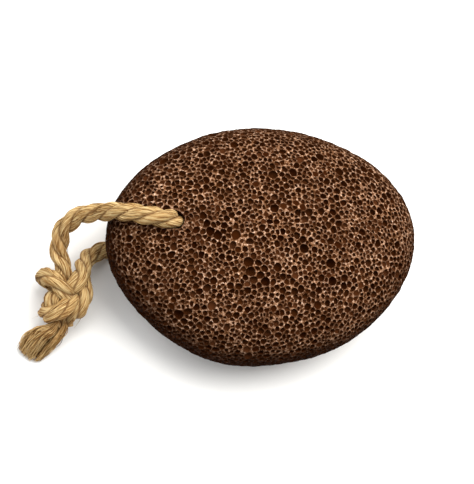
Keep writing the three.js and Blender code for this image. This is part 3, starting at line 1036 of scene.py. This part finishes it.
def add_pit(stone, rng, loop, d, rim, size, normal):
    """The wall and the floor of a pore, down from its rim."""
    a, b, offset = rim
    n = len(loop)
    shallow = rng.random() < SHALLOW_PITS
    deep = rng.uniform(*(SHALLOW_DEPTH if shallow else USUAL_DEPTH)) * size
    tone = rng.random()
    lean = rng.normal(0, PIT_LEAN, 2) * offset.std()
    for scale, part in (LARGE_PIT_RINGS if n >= LARGE_FROM else SMALL_PIT_RINGS):
        spots = offset * scale * rng.uniform(*UNEVEN_RING, (n, 1)) + lean * part
        points = stone_points(unit(d + spots[:, :1] * a + spots[:, 1:] * b))
        fall = deep * part * rng.uniform(*UNEVEN_FALL, n)
        ring = stone.add(points - normal * fall[:, None], fall, tone, normal)
        stone.band(loop, ring)
        loop = ring
    if n >= POINTED_FROM:
        middle = stone_points(unit(d + lean[0] * a + lean[1] * b)[None, :]) - normal * deep
        lowest = stone.add(middle, deep, tone, normal)[0]
        stone.tris += [(loop[k], loop[(k + 1) % n], lowest) for k in range(n)]
    else:
        stone.tris += [(loop[0], loop[k], loop[k + 1]) for k in range(1, n - 1)]


def add_hole(stone, upper, lower):
    """The hole's wall, from its upper mouth's ring to its lower one's."""
    upper_z = stone.verts[0][upper][:, 2]
    lower_z = stone.verts[0][lower][:, 2]
    angle = np.arange(HOLE_VERTS) * TAU / HOLE_VERTS
    previous = upper
    for k, share in enumerate(HOLE_RINGS):
        z = upper_z + (lower_z - upper_z) * share
        rough = value_noise(np.stack([angle * 4, z / HOLE_CELL, 0 * z + k], -1), HOLE_SEED)
        radius = HOLE_RADIUS + HOLE_SLACK + HOLE_ROUGHNESS * rough
        if k in (0, len(HOLE_RINGS) - 1):
            radius = radius + HOLE_SLACK
        points = np.stack([hole_middle(z) + radius * np.cos(angle), HOLE_Y + radius * np.sin(angle), z], -1)
        # The hole's wall takes the pits' colours deeper in: painted shade that grows away from either mouth
        depth = np.minimum(abs(z - upper_z), abs(z - lower_z)) * HOLE_SHADE
        ring = stone.add(points, depth, MIDDLE_TONE, np.array([0, 0, 1.0]))
        stone.band(previous, ring)
        previous = ring
    stone.band(previous, lower)


def clear_of_rope(verts):
    """Points that the rope would cover make room for it."""
    line = rope.line[rope.loop_from:rope.loop_to + 1:2]
    clear = ROPE_RADIUS + ROPE_GAP
    y_from, y_to = ROPE_SIDE_Y
    near = np.where((verts[:, 0] < ROPE_SIDE_X) & (verts[:, 1] > y_from) & (verts[:, 1] < y_to))[0]
    for index in near:
        gap = verts[index] - line
        far = row_dots(gap, gap)
        k = int(np.argmin(far))
        if far[k] < clear ** 2:
            verts[index] = line[k] + gap[k] / math.sqrt(max(far[k], 1e-9)) * clear
    return verts


def breadths(verts, land):
    """For each point, the inner radius of the broadest piece of land that it touches."""
    corners = verts[land]
    sides = np.linalg.norm(corners - np.roll(corners, 1, axis=1), axis=2)
    doubled = np.linalg.norm(np.cross(corners[:, 1] - corners[:, 0], corners[:, 2] - corners[:, 0]), axis=1)
    inner = doubled / np.maximum(sides.sum(axis=1), 1e-9)
    broad = np.zeros(len(verts))
    for k in range(3):
        np.maximum.at(broad, land[:, k], inner)
    return broad


def build_stone():
    rng = np.random.default_rng(STONE_SEED)
    d, place, room = scatter_pores(rng)
    rim_dirs, rim_size, pore_normal = rims(rng, d, place, room)
    rim_points, loops = rim_loops(d, rim_dirs)
    land, land_dirs = land_between(rim_points, loops)
    smooth = stone_points(land_dirs)
    normal = slopes(land_dirs, NORMAL_STEP)[4]
    coarse = value_noise(smooth / COARSE_CELL, COARSE_SEED)
    drop = LAND_DROP + COARSE_DROP * coarse + rng.uniform(0, FINE_DROP, len(smooth))
    drop = drop * smoothstep(smooth[:, 2], 0.0, LEVEL_BELOW)
    stone = StoneMesh()
    stone.add(smooth - normal * drop[:, None], 0, MIDDLE_TONE, normal)
    stone.tris = [tuple(face) for face in land.tolist()]
    for i, loop in enumerate(loops):
        if i not in (UPPER_MOUTH, LOWER_MOUTH):
            add_pit(stone, rng, loop, d[i], rim_dirs[i], rim_size[i], pore_normal[i])
    add_hole(stone, loops[UPPER_MOUTH], loops[LOWER_MOUTH])
    verts = clear_of_rope(np.vstack(stone.verts))
    verts[:, 2] = np.maximum(verts[:, 2], 0)
    uprightness = abs(np.vstack(stone.normal)[:, 2])
    piece = make_piece("pumice", verts, stone.tris, STONE, "stone")
    add_attribute(piece, "depth", np.concatenate(stone.depth))
    add_attribute(piece, "tone", np.concatenate(stone.tone))
    # Painted shade on the steep sides: 0 where the side is steep, 1 where the stone is level
    add_attribute(piece, "level_unshaded", smoothstep(uprightness, STEEP, LEVEL))
    add_attribute(piece, "broad", breadths(verts, land))
    piece.data.set_sharp_from_angle(angle=math.radians(STONE_SHARP_ANGLE))


build_stone()

# Floor and light, in metres
FLOOR_HALF = 2.0
FLOOR_HEIGHT = -0.0002
FLOOR_STOPS = [(0.3, (0.84, 0.84, 0.83)), (0.7, (0.88, 0.88, 0.87))]
STONE_MIDDLE = np.array([0, 0, 0.018])
SKY_STRENGTH = 0.40


def make_floor():
    m = Shader("floor", 0.7, 0.2)
    m.colour(m.ramp(m.noise(m.place(), 6, 2, 0.5), FLOOR_STOPS))
    mesh = bpy.data.meshes.new("floor")
    corners = [(x * FLOOR_HALF, y * FLOOR_HALF, 0) for x, y in ((-1, -1), (1, -1), (1, 1), (-1, 1))]
    mesh.from_pydata(corners, [], [(0, 1, 2, 3)])
    mesh.materials.append(m.material)
    floor = bpy.data.objects.new("floor", mesh)
    floor.location.z = FLOOR_HEIGHT
    bpy.context.collection.objects.link(floor)


def area_light(name, away, distance, size, energy, colour=WHITE):
    """A square light that faces the stone from a direction given in the photograph's right, up and near."""
    data = bpy.data.lights.new(name, "AREA")
    data.size = size
    data.energy = energy
    data.color = colour
    light = bpy.data.objects.new(name, data)
    bpy.context.collection.objects.link(light)
    way = unit(away[0] * CAMERA_RIGHT + away[1] * CAMERA_UP + away[2] * CAMERA_BACK)
    light.location = Vector(way * distance + STONE_MIDDLE)
    light.rotation_euler = Vector(-way).to_track_quat("-Z", "Y").to_euler()


def make_light():
    area_light("key", (0.62, 0.62, 0.75), distance=0.9, size=1.0, energy=19, colour=(1.0, 0.98, 0.95))
    area_light("fill", (-0.5, 0.5, 1.0), distance=1.0, size=0.9, energy=7)
    world = bpy.data.worlds.new("studio")
    world.use_nodes = True
    background = world.node_tree.nodes["Background"]
    background.inputs["Color"].default_value = (*WHITE, 1)
    background.inputs["Strength"].default_value = SKY_STRENGTH
    bpy.context.scene.world = world
    bpy.context.scene.view_settings.view_transform = "Standard"


make_floor()
make_light()
